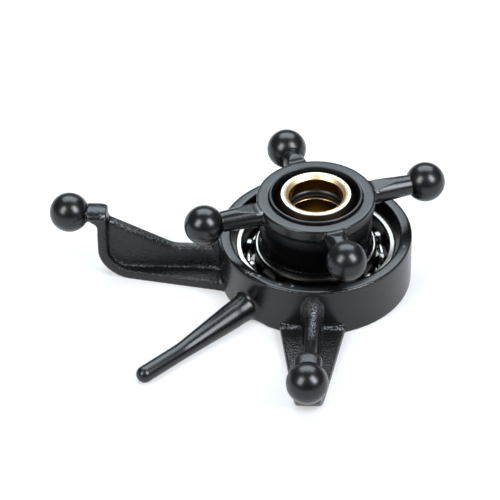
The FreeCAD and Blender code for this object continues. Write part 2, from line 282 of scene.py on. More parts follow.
def moulded_nylon():
    """Glass-filled nylon: satin skin that mirrors softly, sandy where the tool was eroded, pale at rubs and
    at painted highlights on web crests, its shine cut by painted shade in recesses.
    """
    material, tree, shader, place = fresh_material("glass_filled_nylon_moulded", IOR=1.49)
    sand = attribute(tree, "sand")
    scuff_and_highlight = attribute(tree, "scuff_and_highlight")
    seam = attribute(tree, "seam")
    painted_shade = attribute(tree, "painted_shade")
    # painted shade: the shine is cut in the ring's mouth and on the hub's barrel
    feed(shader, "Specular IOR Level", spread(painted_shade, (0.0, 1.0), (0.5, 0.12)), "Result")
    grain = noise(place, 0.08, detail=1.0, roughness=0.6)
    flow = noise(place, 1.4)
    fleck = noise(place, 0.06, detail=1.0)
    depth = spread(sand, (0.0, 1.0), (0.02, 1.0))
    height = calculate(tree, "MULTIPLY", (grain, "Fac"), (depth, "Result"))
    skin = bump(height, strength=1.0, depth=0.09, output="Value")
    wave = bump(flow, strength=0.3, depth=0.06, below=skin)
    off_seam = calculate(tree, "ABSOLUTE", (seam, "Fac"))
    ridge = spread(off_seam, (0.0, 0.06), (1.0, 0.0), "Value")
    feed(shader, "Normal", bump(ridge, strength=0.8, depth=0.03, below=wave, output="Result"), "Normal")
    satin = spread(flow, (0.3, 0.7), (0.25, 0.29))
    dull = calculate(tree, "MULTIPLY", (sand, "Fac"), 0.08)
    feed(shader, "Roughness", calculate(tree, "ADD", (satin, "Result"), (dull, "Value")), "Value")
    # pale at real scuffs and at the painted highlights on the servo arms' web crests
    broken = spread(fleck, (0.45, 0.62), (0.0, 1.0))
    wear_and_highlight = calculate(tree, "MULTIPLY", (scuff_and_highlight, "Fac"), (broken, "Result"))
    tint = two_tone(wear_and_highlight, linear(colours().nylon), linear(colours().wear_and_highlight), "Value")
    feed(shader, "Base Color", tint, "Result")
    return material


def turned_acetal():
    """Black acetal turned on a lathe: darker and a little duller than the moulding, ringed finely."""
    material, tree, shader, place = fresh_material(
        "black_acetal_turned", Base_Color=linear(colours().acetal), IOR=1.48)
    rings = add(tree, "ShaderNodeTexWave", links=[("Vector", place, "Object")],
                wave_type="RINGS", rings_direction="Z", Scale=1 / (0.4 * MM), Distortion=0.6, Detail=1.0)
    feed(shader, "Normal", bump(rings, strength=0.15, depth=0.006), "Normal")
    patch = noise(place, 0.5)
    feed(shader, "Roughness", spread(patch, (0.3, 0.7), (0.3, 0.4)), "Result")
    return material


def ground_steel():
    """Bearing steel: bright ground faces with lines round the axis, an oil film and painted shade inside
    the track and just below the top.
    """
    material, tree, shader, place = fresh_material("bearing_steel_ground", Metallic=1.0)
    film_and_painted_shade = attribute(tree, "film_and_painted_shade")
    stretch = add(tree, "ShaderNodeMapping", links=[("Vector", place, "Object")], Scale=(0.15, 0.15, 1.0))
    lines = noise(stretch, 0.02, output="Vector")
    feed(shader, "Roughness", spread(lines, (0.3, 0.7), (0.28, 0.38)), "Result")
    feed(shader, "Normal", bump(lines, strength=0.15, depth=0.003), "Normal")
    feed(shader, "Base Color", two_tone(film_and_painted_shade, linear(colours().steel), linear(colours().film_and_painted_shade)), "Result")
    return material


def lapped_steel():
    """Lapped chrome-steel balls: a near mirror under a trace of oil, so each shows a small hard glint."""
    material, tree, shader, place = fresh_material(
        "chrome_steel_lapped", Base_Color=linear(colours().oiled), Metallic=1.0)
    smear = noise(place, 0.3)
    feed(shader, "Roughness", spread(smear, (0.3, 0.7), (0.04, 0.12)), "Result")
    return material


def pressed_strip():
    """Pressed steel strip of the cage: soft shine with faint draw marks; painted shade darkens it all but
    the painted highlights on its crests and dome tops.
    """
    material, tree, shader, place = fresh_material("cage_strip_pressed", Metallic=1.0)
    film_and_painted_shade = attribute(tree, "film_and_painted_shade")
    feed(shader, "Base Color", two_tone(film_and_painted_shade, linear(colours().strip), linear(colours().film_and_painted_shade)), "Result")
    marks = noise(place, 0.1, detail=4.0, roughness=0.65)
    feed(shader, "Roughness", spread(marks, (0.35, 0.7), (0.3, 0.42)), "Result")
    feed(shader, "Normal", bump(marks, strength=0.2, depth=0.006), "Normal")
    return material


def nickel_plate():
    """Bright nickel over the turned ball: nearly white, a little warm, with faint handling marks; painted
    shade darkens its sphere, and a dark joint line runs at the bore.
    """
    material, tree, shader, place = fresh_material("nickel_plate_bright", Metallic=1.0)
    painted_shade = attribute(tree, "film_and_painted_shade")
    tint = two_tone(painted_shade, linear(colours().nickel), linear(colours().smear))
    feed(shader, "Base Color", tint, "Result")
    patches = noise(place, 0.5, detail=3.0, roughness=0.6)
    satin = spread(patches, (0.35, 0.75), (0.26, 0.36))
    dull = calculate(tree, "MULTIPLY", (painted_shade, "Fac"), 0.25)
    feed(shader, "Roughness", calculate(tree, "ADD", (satin, "Result"), (dull, "Value")), "Value")
    feed(shader, "Normal", bump(patches, strength=0.2, depth=0.03), "Normal")
    return material


def turned_brass():
    """Brass turned and reamed: pale gold, ringed by the tool, browner where it tarnishes."""
    material, tree, shader, place = fresh_material("brass_turned", Metallic=1.0)
    rings = add(tree, "ShaderNodeTexWave", links=[("Vector", place, "Object")],
                wave_type="BANDS", bands_direction="Z", Scale=1 / (0.14 * MM), Distortion=0.5, Detail=1.0)
    tarnish = noise(place, 0.6, detail=3.0)
    brass = linear(colours().brass)
    patchy = 0.85
    mix = two_tone(tarnish, brass, [c * patchy for c in brass[:3]] + [1.0])
    bore = attribute(tree, "film_and_painted_shade")
    brown = two_tone(bore, brass, linear(colours().tarnish))
    feed(brown, "A", mix, "Result")
    feed(shader, "Base Color", brown, "Result")
    feed(shader, "Roughness", spread(bore, (0.0, 1.0), (0.42, 0.24)), "Result")
    feed(shader, "Normal", bump(rings, strength=0.15, depth=0.003), "Normal")
    return material


def nitrile_rubber():
    """Nitrile rubber cord, lightly oiled: black with a wide soft shine."""
    material, tree, shader, place = fresh_material(
        "nitrile_rubber_moulded", Base_Color=linear(colours().rubber), IOR=1.52)
    dust = noise(place, 0.15, detail=3.0)
    feed(shader, "Roughness", spread(dust, (0.3, 0.7), (0.3, 0.45)), "Result")
    return material


def studio_floor():
    """Matt white board, lit until it is nearly bare of shade."""
    material, _, shader, _ = fresh_material(
        "white_board_matt", Base_Color=linear(colours().floor), Roughness=0.9)
    shader.inputs["Emission Color"].default_value = linear(colours().glow)
    shader.inputs["Emission Strength"].default_value = 0.44
    return material


def material_of(maker):
    """Material made once by its function and then shared."""
    name = "made_" + maker.__name__
    scene = bpy.context.scene
    if name not in scene:
        scene[name] = maker().name
    return bpy.data.materials[scene[name]]


# Meshes

def linked(name, data):
    """New object in the scene."""
    item = bpy.data.objects.new(name, data)
    bpy.context.scene.collection.objects.link(item)
    return item


def worked(item):
    """Mesh of an object with its modifiers done; the object goes."""
    bpy.context.view_layer.update()
    graph = bpy.context.evaluated_depsgraph_get()
    mesh = bpy.data.meshes.new_from_object(item.evaluated_get(graph))
    bpy.data.objects.remove(item)
    return mesh


def finished(shape, name):
    """Mesh from a bmesh, its normals outward."""
    bmesh.ops.recalc_face_normals(shape, faces=shape.faces)
    mesh = bpy.data.meshes.new(name)
    shape.to_mesh(mesh)
    shape.free()
    return mesh


def link_piece(name, mesh, maker, body, nodes):
    """Object at the origin for a finished mesh, riding on its body and standing for CAD nodes."""
    piece = linked(name, mesh)
    mesh.materials.clear()
    mesh.materials.append(material_of(maker))
    mesh.polygons.foreach_set("use_smooth", [True] * len(mesh.polygons))
    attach(piece, body)
    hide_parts(*nodes)


def lathe(points, steps=TURN):
    """Closed mesh of revolution from a closed (radius, height) outline, normals outward."""
    shape = bmesh.new()
    rows = []
    for k in range(steps):
        turn = 2 * math.pi * k / steps
        rows.append([shape.verts.new((r * math.cos(turn), r * math.sin(turn), z)) for r, z in points])
    count = len(points)
    for k in range(steps):
        here, there = rows[k], rows[(k + 1) % steps]
        for i in range(count):
            j = (i + 1) % count
            shape.faces.new((here[i], there[i], there[j], here[j]))
    return finished(shape, "lathe")


def rounded(corners, steps=5, most=0.48):
    """Closed outline from (radius, height, rounding) corners, each eased within its edges."""
    outline = []
    count = len(corners)
    for i, (x, z, size) in enumerate(corners):
        here = Vector((x, z))
        before = Vector(corners[i - 1][:2]) - here
        after = Vector(corners[(i + 1) % count][:2]) - here
        cut = min(size, before.length * most, after.length * most)
        if cut < CAD_WELD / 10:
            outline.append((x, z))
            continue
        start = here + before.normalized() * cut
        end = here + after.normalized() * cut
        for k in range(steps + 1):
            t = k / steps
            outline.append(tuple((1 - t) ** 2 * start + 2 * t * (1 - t) * here + t ** 2 * end))
    return outline


def arc(middle_r, middle_z, radius, start, end, steps):
    """Points of an arc in the (radius, height) plane, angles in degrees."""
    turns = [math.radians(start + (end - start) * k / steps) for k in range(steps + 1)]
    return [(middle_r + radius * math.cos(t), middle_z + radius * math.sin(t)) for t in turns]


def paint(mesh, name, values):
    """Stores one value per vertex for a material to read."""
    layer = mesh.attributes.new(name, "FLOAT", "POINT")
    layer.data.foreach_set("value", np.ascontiguousarray(values, dtype=np.float32))


def places(mesh):
    """Vertex positions as an array, in millimetres."""
    flat = np.empty(len(mesh.vertices) * 3, dtype=np.float64)
    mesh.vertices.foreach_get("co", flat)
    return flat.reshape(-1, 3) / MM


def from_axis(where):
    """Distance of each vertex from the shaft's axis."""
    return np.hypot(where[:, 0], where[:, 1])


def upward(mesh):
    """How far each vertex faces up."""
    flat = np.empty(len(mesh.vertices) * 3, dtype=np.float64)
    mesh.vertices.foreach_get("normal", flat)
    return flat.reshape(-1, 3)[:, 2]


def put(mesh, where):
    """Writes vertex positions given in millimetres."""
    mesh.vertices.foreach_set("co", (where * MM).ravel())
    mesh.update()


def edges_of(mesh):
    """Vertex pairs of the mesh's edges."""
    flat = np.empty(len(mesh.edges) * 2, dtype=np.int64)
    mesh.edges.foreach_get("vertices", flat)
    return flat.reshape(-1, 2)


def smoothstep(values, start, end):
    """0 at start, 1 at end, eased between."""
    t = np.clip((values - start) / (end - start), 0, 1)
    return t * t * (3 - 2 * t)


def fade(values, start, end):
    """1 at start, 0 at end, eased between."""
    return 1 - smoothstep(values, start, end)


def soften(where, edges, weight, passes):
    """Laplacian smoothing, as strong as the weight says at each vertex."""
    count = np.bincount(edges.ravel(), minlength=len(where)).astype(float)[:, None]
    for _ in range(passes):
        total = np.zeros_like(where)
        for axis in range(3):
            total[:, axis] = (np.bincount(edges[:, 0], where[edges[:, 1], axis], len(where))
                              + np.bincount(edges[:, 1], where[edges[:, 0], axis], len(where)))
        where = where + weight[:, None] * 0.5 * (total / count - where)
    return where


def moulding(node, voxel):
    """Fine even mesh of a CAD moulding; its vertices are then free to be worked."""
    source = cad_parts[node].data.copy()
    shape = bmesh.new()
    shape.from_mesh(source)
    bmesh.ops.remove_doubles(shape, verts=shape.verts, dist=CAD_WELD)
    shape.to_mesh(source)
    shape.free()
    work = linked("moulding_work", source)
    remesh = work.modifiers.new("remesh", "REMESH")
    remesh.mode = "VOXEL"
    remesh.voxel_size = voxel
    return worked(work)


def thinned(mesh):
    """The mesh, or a copy with fewer triangles where it has too many."""
    mesh.calc_loop_triangles()
    count = len(mesh.loop_triangles)
    if count <= MOST_TRIANGLES:
        return mesh
    work = linked("thin_work", mesh)
    fewer = work.modifiers.new("fewer", "DECIMATE")
    fewer.ratio = MOST_TRIANGLES / count
    return worked(work)


def turned_frame(where, turn):
    """Positions along and across a direction that points at this angle from the shaft."""
    c, d = math.cos(math.radians(turn)), math.sin(math.radians(turn))
    return where[:, 0] * c + where[:, 1] * d, where[:, 1] * c - where[:, 0] * d


def from_frame(along, across, height, turn):
    """The way back: positions from along, across and height."""
    c, d = math.cos(math.radians(turn)), math.sin(math.radians(turn))
    return np.stack([along * c - across * d, along * d + across * c, height], axis=1)


def pull(where, target, weight):
    """Moves vertices towards their targets by a weight."""
    return where + weight[:, None] * (target - where)


def true_wall(where, radius, bottom, top, slack=0.07):
    """Brings a round wall onto its exact cylinder, away from whatever joins it."""
    r = from_axis(where)
    near = (np.abs(r - radius) < slack) & (where[:, 2] > bottom) & (where[:, 2] < top)
    target = where.copy()
    target[:, :2] *= (radius / np.maximum(r, 1e-6))[:, None]
    return pull(where, target, near.astype(float))


def true_face(where, level, inner, outer, slack=0.07):
    """Brings a flat ring of a moulding exactly to its level."""
    r = from_axis(where)
    near = (np.abs(where[:, 2] - level) < slack) & (r > inner) & (r < outer)
    target = where.copy()
    target[:, 2] = level
    return pull(where, target, near.astype(float))


def true_ball(where, centre, radius, turn, slack=0.14, ease=0.08):
    """Brings a control ball onto its exact sphere, all but where its neck joins."""
    out = where - centre
    inward = out @ np.array(ball_centre(turn, -1, 0))
    span = np.linalg.norm(out, axis=1)
    target = centre + out * (radius / np.maximum(span, 1e-6))[:, None]
    near = (np.abs(span - radius) < slack) * fade(inward, BALL_NECK - ease, BALL_NECK + ease)
    return pull(where, target, near)


def true_shank(where, turn, profile, start, end, slack):
    """Brings a round shank onto its exact taper; the profile gives height, radius and flat along it."""
    along, across = turned_frame(where, turn)
    height, radius, flat = profile(along)
    up = where[:, 2] - height
    span = np.maximum(np.hypot(across, up), 1e-6)
    factor = radius / span
    target = from_frame(along, across * factor, height + np.minimum(up * factor, flat), turn)
    weight = smoothstep(along, *start) * fade(along, *end) * (np.abs(span - radius) < slack)
    return pull(where, target, weight)


def true_head(where, turn, level, start, end):
    """Rounds the block behind a servo ball so that its upper half is a soft dome across the arm."""
    along, across = turned_frame(where, turn)
    wide, tall, power = 0.98, 0.53, 2.0
    up = where[:, 2] - level
    form = (np.abs(across / wide) ** power + np.abs(up / tall) ** power) ** (1 / power)
    round_end, roundest = 0.9, 0.88
    near_end = np.clip((start + round_end - along) / round_end, 0, roundest)
    factor = np.sqrt(1 - near_end ** 2) / np.maximum(form, 1e-6)
    target = from_frame(along, across * factor, level + up * factor, turn)
    weight = smoothstep(along, start, start + 0.25) * fade(along, end - 0.1, end)
    weight = weight * smoothstep(up, -0.3, 0.0) * (np.abs(form - 1) < 0.3)
    return pull(where, target, weight)


def spots(where, marks):
    """Scuffs: one value per vertex from (x, y, z, size) marks in millimetres."""
    value = np.zeros(len(where))
    for x, y, z, size in marks:
        span = np.linalg.norm(where - np.array((x, y, z)), axis=1)
        value = np.maximum(value, fade(span, size * 0.5, size))
    return value


def ball_seams(where, centres, radius, far=9.0, slack=0.06):
    """Height over each control ball's parting seam; away from the balls it is large."""
    value = np.where(where[:, 2] > centres[0][2], far, -far)
    for centre in centres:
        near = np.linalg.norm(where - np.array(centre), axis=1) < radius + slack
        value = np.where(near, where[:, 2] - centre[2] + SEAM_DROP, value)
    return value


def pin_profile(along):
    """Height of the pin's middle and its radius at each distance from the shaft, and no flat."""
    floor = low("lower_ring") / MM
    slope, elbow, point = PIN_TIP - PIN_ROOT, 0.03, 0.01
    share = (along - PIN_START) / (PIN_TAPER_END - PIN_START)
    share = share - elbow * np.logaddexp(0, (share - 1) / elbow)
    beyond = np.maximum(along - PIN_ROUND_END, 0)
    end = np.sqrt(np.maximum(PIN_TIP ** 2 - beyond ** 2, point ** 2))
    radius = np.where(beyond > 0, end, PIN_ROOT + slope * share)
    return floor + PIN_ROOT + slope * share, radius, NO_FLAT


def hub_arm_profile(far):
    """The same for a hub arm whose ball is this far out; its flat rises towards the ball."""
    run = far - sizes().control_ball / MM - HUB_ARM_START

    def profile(along):
        share = (along - HUB_ARM_START) / run
        flat = HUB_ARM_FLAT + HUB_ARM_FLAT_RISE * np.maximum(share, 0)
        return HUB_ARM_HEIGHT, HUB_ARM_ROOT - HUB_ARM_TAPER * share, flat

    return profile


# Scuffs in millimetres: x, y, z and size
RING_MARKS = ((6.63, -1.57, -1.7, 0.14), (5.68, -4.5, -4.43, 0.1), (-15.99, -0.9, 0.02, 0.3),
              (-4.9, -4.97, -1.7, 0.2), (-4.5, -5.2, -1.7, 0.2), (-4.0, -5.45, -1.7, 0.2),
              (-2.4, -6.3, -1.75, 0.15), (-1.5, -6.45, -1.75, 0.15), (-15.7, -0.95, -0.3, 0.2))
HUB_MARKS = ((-4.77, -2.04, 1.4, 0.15), (-3.95, -2.1, 1.6, 0.2), (-3.85, -2.2, 1.2, 0.16),
             (-3.85, -2.2, 0.7, 0.16), (4.56, 0.91, 1.5, 0.18), (3.1, 3.1, 1.7, 0.12))


def ball_centre(turn, far, height):
    """Middle of a control ball."""
    return (far * math.cos(math.radians(turn)), far * math.sin(math.radians(turn)), height)


# Operators; the ranges given to smoothstep and fade are in millimetres

class SWASHPLATE_OT_fixed_ring(bpy.types.Operator):
    """Makes the fixed ring with its servo arms and pin as one satin moulding"""

    bl_idname = "swashplate.fixed_ring"
    bl_label = "Fixed ring"

    def sandy(self, where):
        """The eroded skin of the servo arms, fainter on their heads."""
        value = np.zeros(len(where))
        for turn in SERVO_TURNS:
            along, across = turned_frame(where, turn)
            on_arm = smoothstep(along, 7.1, 7.5) * fade(np.abs(across), 2.6, 2.8)
            level = where[:, 2] - sizes().servo_ball_height / MM
            head = smoothstep(along, 14.9, 15.2) * smoothstep(level, -1.3, -0.9)
            value = np.maximum(value, on_arm * fade(along, 16.9, 17.2) * (1 - 0.7 * head))
        return value

    def wear_and_highlight(self, where, faces_up):
        """Painted highlights along the up-facing crests of the servo arms' webs, pale rubs in the front
        arm's corner and scuffs at the ring's marks.
        """
        value = np.zeros(len(where))
        rise = where[:, 2] - low("lower_ring") / MM
        for turn, strong, side in zip(SERVO_TURNS, (0.6, 0.55), (-0.2, 0.14)):
            along, across = turned_frame(where, turn)
            # painted highlight: pale where a web's crest faces up
            crest = smoothstep(faces_up, 0.3, 0.7) * (rise > 1.2)
            crest = crest * fade(np.abs(across - side), 0.1, 0.26)
            near = smoothstep(along, 7.3, 7.5) * fade(along, 9.0, 11.0)
            value = np.maximum(value, strong * crest * near)
        root = fade(np.abs(along - 7.3), 0.05, 0.2) * (np.abs(across) < 2.5)
        value = np.maximum(value, root * fade(np.abs(rise - 0.6), 0.2, 0.4))
        return np.maximum(value, 0.55 * spots(where, RING_MARKS))

    def roots(self, where):
        """The roots of the arms and the pin and the arms' heads, which the mould leaves soft."""
        root = np.zeros(len(where))
        for turn in SERVO_TURNS:
            along, across = turned_frame(where, turn)
            root = np.maximum(root, smoothstep(along, 7.2, 7.4) * fade(along, 8.6, 9.4)
                              * fade(np.abs(across), 1.3, 1.6))
            head = smoothstep(along, 15.2, 15.6) * (where[:, 2] > sizes().servo_ball_height / MM - 1.4)
            root = np.maximum(root, 0.6 * head)
        along, across = turned_frame(where, PIN_TURN)
        return np.maximum(root, smoothstep(along, 6.9, 7.15) * fade(along, 8.3, 8.8)
                          * fade(np.abs(across), 1.6, 2.0))

    def execute(self, context):
        size = sizes()
        mesh = moulding("lower_ring", size.mould_voxel)
        where = places(mesh)
        edges = edges_of(mesh)
        root = self.roots(where)
        bottom, top = low("lower_ring") / MM, high("bearing_outer_race") / MM + 1.0
        where = soften(where, edges, np.ones(len(where)), 4)
        where = true_wall(where, RING_RADIUS, bottom + 0.2, top - 0.2)
        where = true_face(where, top, 6.55, 7.05)
        where = soften(where, edges, self.sandy(where) * 0.8, 6)
        where = soften(where, edges, root, 40)
        where = true_shank(where, PIN_TURN, pin_profile, (8.2, 9.0), (17.95, 18.0), slack=0.2)
        radius = size.control_ball / MM
        centres = [ball_centre(turn, size.servo_ball_reach / MM, size.servo_ball_height / MM)
                   for turn in SERVO_TURNS]
        for turn, centre in zip(SERVO_TURNS, centres):
            where = true_head(where, turn, centre[2], *SERVO_HEAD)
            where = true_ball(where, centre, radius, turn)
        where = soften(where, edges, np.ones(len(where)), 1)
        put(mesh, where)
        mesh = thinned(mesh)
        where = places(mesh)
        paint(mesh, "sand", self.sandy(where))
        paint(mesh, "scuff_and_highlight", self.wear_and_highlight(where, upward(mesh)))
        # painted shade: the inside of the ring's mouth, below its top, loses its shine
        inside = fade(from_axis(where), 6.45, 6.5)
        paint(mesh, "painted_shade", inside * fade(where[:, 2], top - 0.12, top - 0.04))
        paint(mesh, "seam", ball_seams(where, centres, radius))
        link_piece("fixed_ring_moulding", mesh, moulded_nylon, "fixed_ring", ["lower_ring"])
        return {"FINISHED"}


class SWASHPLATE_OT_hub(bpy.types.Operator):
    """Makes the rotating hub with its four arms as one satin moulding"""

    bl_idname = "swashplate.hub"
    bl_label = "Rotating hub"

    def execute(self, context):
        size = sizes()
        mesh = moulding("rotating_hub", size.mould_voxel)
        where = places(mesh)
        edges = edges_of(mesh)
        where = soften(where, edges, np.ones(len(where)), 3)
        radius = size.control_ball / MM
        centres = [ball_centre(turn, far, HUB_ARM_HEIGHT) for turn, far in HUB_ARMS]
        for (turn, far), centre in zip(HUB_ARMS, centres):
            root, neck = HUB_ARM_START, far - 1.2
            where = true_shank(where, turn, hub_arm_profile(far), (root + 0.1, root + 0.45),
                               (neck - 0.05, neck + 0.1), slack=0.4)
            where = true_ball(where, centre, radius, turn)
        where = true_wall(where, HUB_RADIUS, -2.4, -0.1, slack=0.05)
        put(mesh, where)
        mesh = thinned(mesh)
        where = places(mesh)
        # painted shade: the hub's barrel under the bearing loses its shine
        barrel = fade(from_axis(where), 4.28, 4.38) * fade(where[:, 2], -0.6, 0.3)
        paint(mesh, "painted_shade", barrel)
        paint(mesh, "sand", np.zeros(len(where)))
        paint(mesh, "scuff_and_highlight", 0.8 * spots(where, HUB_MARKS))
        paint(mesh, "seam", ball_seams(where, centres, radius))
        link_piece("hub_moulding", mesh, moulded_nylon, "turning_hub", ["rotating_hub"])
        return {"FINISHED"}


def race_outline(outer):
    """Outline of a race: eased corners, chamfered land and the ball track."""
    node = "bearing_outer_race" if outer else "bearing_inner_race"
    size = sizes()
    bottom, top = low(node), high(node)
    side = 1 if outer else -1
    land = size.pitch_radius + side * size.race_land
    seat = reach(node) if outer else size.race_bore
    middle = (bottom + top) / 2
    gap, steps = 0.03 * MM, 14
    run = size.bearing_ball + gap
    lift = math.degrees(math.acos(size.race_land / run))
    corner = size.race_corner
    track = arc(size.pitch_radius, middle, run, lift, -lift, steps)
    if not outer:
        track = [(2 * size.pitch_radius - r, z) for r, z in track]
    outline = rounded([(land, top - corner, EASE), (land + side * corner, top, EASE), (seat, top, corner),
                       (seat, bottom, corner), (land + side * corner, bottom, EASE),
                       (land, bottom + corner, EASE)])
    return outline + list(reversed(track))


def make_race(outer):
    """One race of the bearing, its track darkened by oil and painted shade, with painted shade just below
    its top.
    """
    mesh = lathe(race_outline(outer), FINE_TURN)
    where = places(mesh)
    size = sizes()
    from_pitch = np.abs(from_axis(where) - size.pitch_radius / MM)
    top = high("bearing_outer_race") / MM
    # painted shade on the faces just below the top, near the track
    painted_depth_shade = smoothstep(top - where[:, 2], 0.02, 0.12)
    edge = size.race_land / MM + (0.02 if outer else 0.1)
    inside = fade(from_pitch, edge, edge + 0.05)
    paint(mesh, "film_and_painted_shade", np.maximum(inside, painted_depth_shade * (from_pitch < edge + 0.2)))
    piece, body = ("outer_race", "fixed_ring") if outer else ("inner_race", "turning_hub")
    link_piece(piece, mesh, ground_steel, body, ["bearing_" + piece])


def array_group(name):
    """Node group that sets copies of a shape round the shaft, each scaled between Smallest and 1."""
    group = bpy.data.node_groups.new(name, "GeometryNodeTree")
    sockets = (("Shape", "Object"), ("Count", "Int"), ("Radius", "Float"), ("First turn", "Float"),
               ("Height", "Float"), ("Smallest", "Float"), ("Seed", "Int"), ("Material", "Material"))
    for label, kind in sockets:
        group.interface.new_socket(label, in_out="INPUT", socket_type="NodeSocket" + kind)
    group.interface.new_socket("Geometry", in_out="OUTPUT", socket_type="NodeSocketGeometry")
    source = add(group, "NodeGroupInput")
    shape = add(group, "GeometryNodeObjectInfo", links=[("Object", source, "Shape")])
    circle = add(group, "GeometryNodeMeshCircle",
                 links=[("Vertices", source, "Count"), ("Radius", source, "Radius")])
    index = add(group, "GeometryNodeInputIndex")
    step = add(group, "ShaderNodeMath", operation="DIVIDE", links=[(1, source, "Count")])
    step.inputs[0].default_value = 2 * math.pi
    turn = add(group, "ShaderNodeMath", operation="MULTIPLY",
               links=[(0, index, "Index"), (1, step, "Value")])
    facing = add(group, "ShaderNodeCombineXYZ", links=[("Z", turn, "Value")])
    copies = add(group, "GeometryNodeInstanceOnPoints",
                 links=[("Points", circle, "Mesh"), ("Instance", shape, "Geometry"),
                        ("Rotation", facing, "Vector")])
    jitter = add(group, "FunctionNodeRandomValue", data_type="FLOAT",
                 links=[(2, source, "Smallest"), ("Seed", source, "Seed")])
    jitter.inputs[3].default_value = 1.0
    eased = add(group, "GeometryNodeScaleInstances",
                links=[("Instances", copies, "Instances"), ("Scale", jitter, 1)])
    whole = add(group, "ShaderNodeCombineXYZ", links=[("Z", source, "First turn")])
    lift = add(group, "ShaderNodeCombineXYZ", links=[("Z", source, "Height")])
    placed = add(group, "GeometryNodeTransform",
                 links=[("Geometry", eased, "Instances"), ("Translation", lift, "Vector"),
                        ("Rotation", whole, "Vector")])
    real = add(group, "GeometryNodeRealizeInstances", links=[("Geometry", placed, "Geometry")])
    finish = add(group, "GeometryNodeSetMaterial",
                 links=[("Geometry", real, "Geometry"), ("Material", source, "Material")])
    add(group, "NodeGroupOutput", links=[("Geometry", finish, "Geometry")])
    return group


def arrayed(shape_mesh, maker, **values):
    """Plain mesh of one shape repeated round the bearing by the node group."""
    shape = linked("array_shape", shape_mesh)
    holder = linked("array_holder", bpy.data.meshes.new("array_holder"))
    group = array_group("set_round_axis")
    inputs = {item.name: item.identifier for item in group.interface.items_tree if item.in_out == "INPUT"}
    modifier = holder.modifiers.new("set_round_axis", "NODES")
    modifier.node_group = group
    modifier[inputs["Shape"]] = shape
    modifier[inputs["Material"]] = material_of(maker)
    for label, value in values.items():
        modifier[inputs[label.replace("_", " ")]] = value
    bpy.context.view_layer.update()
    graph = bpy.context.evaluated_depsgraph_get()
    mesh = bpy.data.meshes.new_from_object(holder.evaluated_get(graph))
    holder.modifiers.remove(modifier)
    bpy.data.objects.remove(holder)
    bpy.data.objects.remove(shape)
    if not len(mesh.polygons):
        raise RuntimeError("the node group made no faces")
    return mesh


def ball_mesh(radius, level=4):
    """Even round ball."""
    shape = bmesh.new()
    bmesh.ops.create_icosphere(shape, subdivisions=level, radius=radius)
    return finished(shape, "ball")


def cage_segment():
    """One pitch of the ribbon cage, both halves: crowned strip, level and then domed over a ball."""
    size = sizes()
    half_pitch = math.pi / size.bearing_balls
    pocket = size.bearing_ball + 0.045 * MM
    steps, across = 56, 10
    seam = 0.004 * MM  # height of each half's underside
    flare, flare_width = 0.7, 0.075  # wider flats between the balls
    thin, thick = 0.35, 0.65  # the strip's edges, and what its crown adds
    flank, crest = 0.94, 0.06  # the same for a dome
    shape = bmesh.new()
    for side in (1, -1):
        rings = []
        for i in range(steps + 1):
            turn = half_pitch * (2 * i / steps - 1)
            ring = []
            for j in range(2 * across):
                top = j <= across
                s = (j / across * 2 - 1) if top else (1 - (j - across) / across * 2)
                wide = 1 + flare * math.exp(-(turn / flare_width) ** 2)
                radius = size.pitch_radius + s * size.cage_half_width * wide
                x, y = radius * math.cos(turn) - size.pitch_radius, radius * math.sin(turn)
                near = max(0.0, pocket ** 2 - x * x - y * y)
                far = max(0.0, (pocket + size.cage_sheet) ** 2 - x * x - y * y)
                crown = size.cage_sheet * (thin + thick * math.sqrt(max(0.0, 1 - s * s)))
                if top:
                    height = max(seam + crown, math.sqrt(far) * (flank + crest * crown / size.cage_sheet))
                else:
                    height = max(seam, math.sqrt(near))
                ring.append(shape.verts.new((radius * math.cos(turn), y, side * height)))
            rings.append(ring)
        for i in range(steps):
            for j in range(2 * across):
                n = (j + 1) % (2 * across)
                shape.faces.new((rings[i][j], rings[i + 1][j], rings[i + 1][n], rings[i][n]))
    for vert in shape.verts:
        vert.co.x -= size.pitch_radius
    return finished(shape, "cage_segment")


class SWASHPLATE_OT_bearing(bpy.types.Operator):
    """Makes the open ball bearing: two ground races, lapped balls and a narrow ribbon cage"""

    bl_idname = "swashplate.bearing"
    bl_label = "Bearing"

    def execute(self, context):
        size = sizes()
        make_race(True)
        make_race(False)
        middle = (low("bearing_outer_race") + high("bearing_outer_race")) / 2
        numbers = dict(Count=size.bearing_balls, Radius=size.pitch_radius, First_turn=size.first_ball,
                       Height=middle, Smallest=0.992, Seed=4)
        mesh = arrayed(ball_mesh(size.bearing_ball), lapped_steel, **numbers)
        balls = ["bearing_ball_%02d" % (k + 1) for k in range(size.bearing_balls)]
        link_piece("bearing_balls", mesh, lapped_steel, "bearing_cage", balls)
        mesh = arrayed(cage_segment(), pressed_strip, **dict(numbers, Smallest=1.0))
        shape = bmesh.new()
        shape.from_mesh(mesh)
        weld = 0.003 * MM
        bmesh.ops.remove_doubles(shape, verts=shape.verts, dist=weld)
        bmesh.ops.recalc_face_normals(shape, faces=shape.faces)
        shape.to_mesh(mesh)
        shape.free()
        where = places(mesh)
        turn = np.degrees(np.arctan2(where[:, 1], where[:, 0])) - math.degrees(size.first_ball)
        half_pitch = 180 / size.bearing_balls
        from_ball = np.abs((turn + half_pitch) % (2 * half_pitch) - half_pitch)
        off_middle = np.abs(from_axis(where) - size.pitch_radius / MM)
        # painted highlights on the upper half, along the crests of the flats and on the dome tops; painted
        # shade on the rest of the cage
        crest = smoothstep(from_ball, 7.4, 8.0) * fade(off_middle, 0.07, 0.12)
        painted_dome_glint = fade(from_ball, 2.0, 4.0)
        paint(mesh, "film_and_painted_shade", 1 - np.maximum(crest, 0.7 * painted_dome_glint) * (where[:, 2] > middle / MM))
        link_piece("bearing_cage", mesh, pressed_strip, "bearing_cage",
                   ["bearing_cage_upper", "bearing_cage_lower"])
        return {"FINISHED"}


